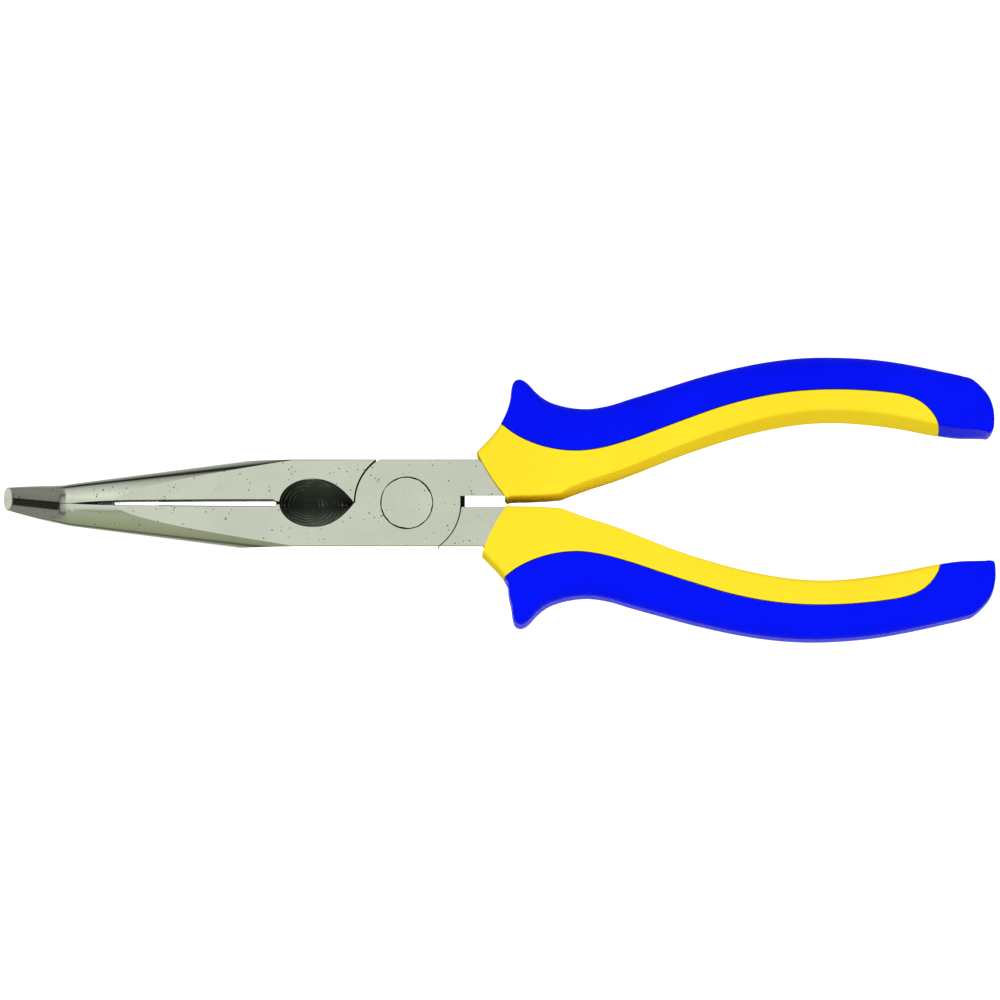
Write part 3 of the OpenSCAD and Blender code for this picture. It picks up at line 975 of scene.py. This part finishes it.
def stage_floor():
    """A pale floor that the camera sees as white."""
    low = CAD_BOX[0].z - 0.0005
    half = 3.0
    corners = rectangle(-half, half, -half, half)
    floor = mesh_object("floor", [(x / MM, y / MM, low / MM) for x, y in corners], [(0, 1, 2, 3)])
    s = Shader("floor_white")
    s.set(Metallic=0.0, Roughness=0.9)
    s.shader.inputs["Specular IOR Level"].default_value = 0.0
    tone = s.ramp(s.noise(s.place, 4, 2), [(0.3, (0.50, 0.51, 0.49)), (0.7, (0.53, 0.54, 0.52))])
    s.link(tone, s.shader.inputs["Base Color"])
    glow = s.add("ShaderNodeEmission")
    glow.inputs["Color"].default_value = (1, 1, 1, 1)
    glow.inputs["Strength"].default_value = 1.3
    path = s.add("ShaderNodeLightPath")
    either = s.add("ShaderNodeMixShader")
    s.link(path.outputs["Is Camera Ray"], either.inputs["Fac"])
    s.link(s.shader.outputs["BSDF"], either.inputs[1])
    s.link(glow.outputs["Emission"], either.inputs[2])
    s.link(either.outputs["Shader"], s.tree.nodes["Material Output"].inputs["Surface"])
    floor.data.materials.append(s.material)
    floor.visible_glossy = False


# What polished steel sees of the studio, from straight up to straight down: the angle from
# straight up in degrees, and the brightness there
STUDIO_NORTH = [
    (0, 0.96), (16, 0.98), (28, 1.04), (42, 1.14), (50, 1.10), (56, 1.02), (66, 0.92), (76, 0.82),
    (86, 0.72), (96, 0.58), (102, 0.44), (107, 0.22), (110, 0.03), (119, 0.03), (124, 0.17),
    (132, 0.44), (142, 0.46), (152, 0.8), (162, 1.3), (180, 1.75),
]
STUDIO_SOUTH = [
    (0, 0.96), (4, 0.95), (9, 0.90), (15, 0.83), (22, 0.78), (29, 0.71), (32, 0.67),
    (33.5, (0.42, 0.45, 0.37)), (37, (0.47, 0.50, 0.42)), (43, (0.54, 0.57, 0.48)),
    (54, (0.54, 0.57, 0.47)), (66, (0.52, 0.55, 0.43)), (80, (0.50, 0.52, 0.39)),
    (100, (0.46, 0.48, 0.36)), (116, (0.42, 0.44, 0.33)), (125, (0.33, 0.34, 0.26)),
    (129, (0.12, 0.13, 0.09)), (134, (0.12, 0.13, 0.09)), (139, (0.32, 0.33, 0.27)),
    (150, (0.43, 0.42, 0.39)), (165, 1.3), (180, 1.75),
]
STUDIO_EAST = [
    (0, 0.95), (5, 0.74), (12, 0.62), (26, 0.50), (38, 0.36), (45, 0.22), (50, 0.14), (55, 0.22),
    (60, 0.30), (75, 0.33), (115, 0.30), (140, 0.5), (160, 1.1), (180, 1.75),
]
STUDIO_EAST_DARK = [
    (0, 0.95), (5, 0.74), (12, 0.62), (26, 0.50), (38, 0.34), (45, 0.16), (50, 0.06), (57, 0.03),
    (80, 0.04), (100, 0.08), (120, 0.15), (145, 0.5), (160, 1.1), (180, 1.75),
]
STUDIO_WEST = [(0, 0.96), (60, 0.95), (80, 0.9), (100, 0.98), (125, 0.9), (160, 1.2), (180, 1.75)]


def studio_world():
    """The studio as polished steel sees it, softer light for plastics, and white behind it all."""
    world = bpy.data.worlds.new("studio")
    bpy.context.scene.world = world
    world.use_nodes = True
    nodes, links = world.node_tree.nodes, world.node_tree.links

    def ramp(source, stops):
        made = nodes.new("ShaderNodeValToRGB")
        elements = made.color_ramp.elements
        while len(elements) < len(stops):
            elements.new(0.5)
        for element, (position, value) in zip(elements, stops):
            element.position = position
            element.color = (value, value, value, 1) if isinstance(value, (int, float)) else (*value, 1)
        links.new(source, made.inputs["Fac"])
        return made.outputs["Color"]

    def by_angle(table):
        return ramp(angle, [(degrees / 180, value) for degrees, value in table])

    def calculate(operation, *values):
        made = nodes.new("ShaderNodeMath")
        made.operation = operation
        for socket, value in zip(made.inputs, values):
            if isinstance(value, (int, float)):
                socket.default_value = value
            else:
                links.new(value, socket)
        return made.outputs["Value"]

    def blend(factor, a, b):
        made = nodes.new("ShaderNodeMix")
        made.data_type = "RGBA"
        links.new(factor, made.inputs["Factor"])
        sockets = {k.name: k for k in made.inputs if k.type == "RGBA"}
        links.new(a, sockets["A"])
        if isinstance(b, tuple):
            sockets["B"].default_value = b
        else:
            links.new(b, sockets["B"])
        return [k for k in made.outputs if k.type == "RGBA"][0]

    split = nodes.new("ShaderNodeSeparateXYZ")
    links.new(nodes.new("ShaderNodeTexCoord").outputs["Generated"], split.inputs["Vector"])
    x, y, z = split.outputs["X"], split.outputs["Y"], split.outputs["Z"]
    squares = calculate("ADD", calculate("MULTIPLY", x, x), calculate("MULTIPLY", y, y))
    level = calculate("MAXIMUM", calculate("SQRT", squares), 0.0001)
    angle = calculate("DIVIDE", calculate("ARCCOSINE", z), math.pi)
    northward = calculate("MULTIPLY_ADD", calculate("DIVIDE", y, level), 0.5, 0.5)
    eastward = calculate("MULTIPLY_ADD", calculate("DIVIDE", x, level), 0.5, 0.5)
    is_north = ramp(northward, [(0.42, 0.0), (0.56, 1.0)])
    is_east = ramp(eastward, [(0.51, 0.0), (0.64, 1.0)])
    is_west = ramp(eastward, [(0.08, 1.0), (0.22, 0.0)])
    is_dark = ramp(northward, [(0.25, 0.0), (0.32, 1.0), (0.56, 1.0), (0.585, 0.0)])
    sides = blend(is_north, by_angle(STUDIO_SOUTH), by_angle(STUDIO_NORTH))
    east = blend(is_dark, by_angle(STUDIO_EAST), by_angle(STUDIO_EAST_DARK))
    seen = blend(is_west, blend(is_east, sides, east), by_angle(STUDIO_WEST))

    soft = ramp(calculate("MULTIPLY_ADD", z, 0.5, 0.5), [
        (0.0, (0.55, 0.52, 0.46)), (0.35, (0.55, 0.51, 0.44)), (0.5, (0.58, 0.55, 0.48)),
        (0.75, (0.90, 0.90, 0.88)), (1.0, (1.06, 1.06, 1.06)),
    ])
    path = nodes.new("ShaderNodeLightPath")
    colour = blend(path.outputs["Is Glossy Ray"], soft, seen)
    white = (1.0, 1.0, 1.0, 1.0)
    back = nodes["Background"]
    links.new(blend(path.outputs["Is Camera Ray"], colour, white), back.inputs["Color"])
    back.inputs["Strength"].default_value = 1.0


def soft_light(name, place, target, size, power):
    """A round area light that steel doesn't reflect."""
    light = bpy.data.lights.new(name, "AREA")
    light.shape = "DISK"
    light.size = size
    light.energy = power
    made = bpy.data.objects.new(name, light)
    made.visible_glossy = False
    made.location = place
    made.rotation_mode = "QUATERNION"
    made.rotation_quaternion = (Vector(target) - Vector(place)).to_track_quat("-Z", "Y")
    bpy.context.scene.collection.objects.link(made)


def photo_camera():
    """A long lens almost straight above, leaning a little to the lower handle's side."""
    elevation = math.radians(85)
    distance = 2.5
    view_width = 0.202
    target = Vector((18.8 * MM, 1.05 * MM, MID_Z * MM))
    back = Vector((0, -math.cos(elevation), math.sin(elevation)))
    data = bpy.data.cameras.new("camera")
    data.sensor_width = 36.0
    data.lens = data.sensor_width * distance / view_width
    data.clip_start, data.clip_end = 0.05, 20
    camera = bpy.data.objects.new("camera", data)
    camera.location = target + back * distance
    camera.rotation_mode = "QUATERNION"
    camera.rotation_quaternion = (-back).to_track_quat("-Z", "Y")
    bpy.context.scene.collection.objects.link(camera)
    bpy.context.scene.camera = camera


# ---- Build ----


def install(piece, body, nodes, slot, *materials):
    """Gives the piece its materials, hangs it on its body and hides the CAD nodes that it stands in
    for.
    """
    piece.data.materials.clear()
    for material in materials:
        piece.data.materials.append(material)
    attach(piece, body)
    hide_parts(*nodes)


steel = ground_steel("lever_steel", (0.60, 0.64, 0.52), (0.565, 0.605, 0.485))
rivet_steel = ground_steel("rivet_steel", (0.61, 0.65, 0.53), (0.575, 0.615, 0.495))
milled = milled_steel("milled_steel")
# Near-black steel as painted shade for the split, the joint, the stop tab, the lap floor and the
# rivet's flanks.
hidden = painted_shade_steel("painted_shade_steel")
yellow = moulded_plastic("core_yellow", (1.0, 0.79, 0.03), (0.98, 0.75, 0.026), 0.0, 0.0,
                         0.34, 1500)
blue = moulded_plastic("cover_blue", (0.0004, 0.0065, 0.94), (0.0003, 0.0045, 0.86), 0.02, 0.045,
                       0.40, 2200)

LEVERS = [("lower_jaw_lever", "lower_jaw_body", False), ("upper_jaw_lever", "upper_jaw_body", True)]
for node_name, body_name, turned in LEVERS:
    lever = make_lever(node_name + "_visual", turned)
    install(lever, body_name, [node_name], "lever_steel", steel, milled, hidden)
    paint_lever(lever)

rivet = make_rivet()
install(rivet, "lower_jaw_body", ["pivot_rivet"], "rivet_steel", rivet_steel, hidden)
paint_rivet(rivet)

GRIPS = [("upper_grip", "lower_jaw_body", False), ("lower_grip", "upper_jaw_body", True)]
for grip_name, body_name, lower in GRIPS:
    core, cover = make_grip(grip_name + "_core_visual", grip_name + "_cover_visual", lower)
    install(core, body_name, [grip_name + "_core"], "core_plastic", yellow)
    install(cover, body_name, [grip_name + "_cover"], "cover_plastic", blue)

stage_floor()
studio_world()
soft_light("overhead", (0.05, -0.25, 1.2), (0.02, 0, 0), 0.7, 1.3)
soft_light("south", (0.05, -0.9, 0.55), (0.03, 0, 0), 0.5, 0.7)
photo_camera()

bpy.context.scene.view_settings.view_transform = "Standard"
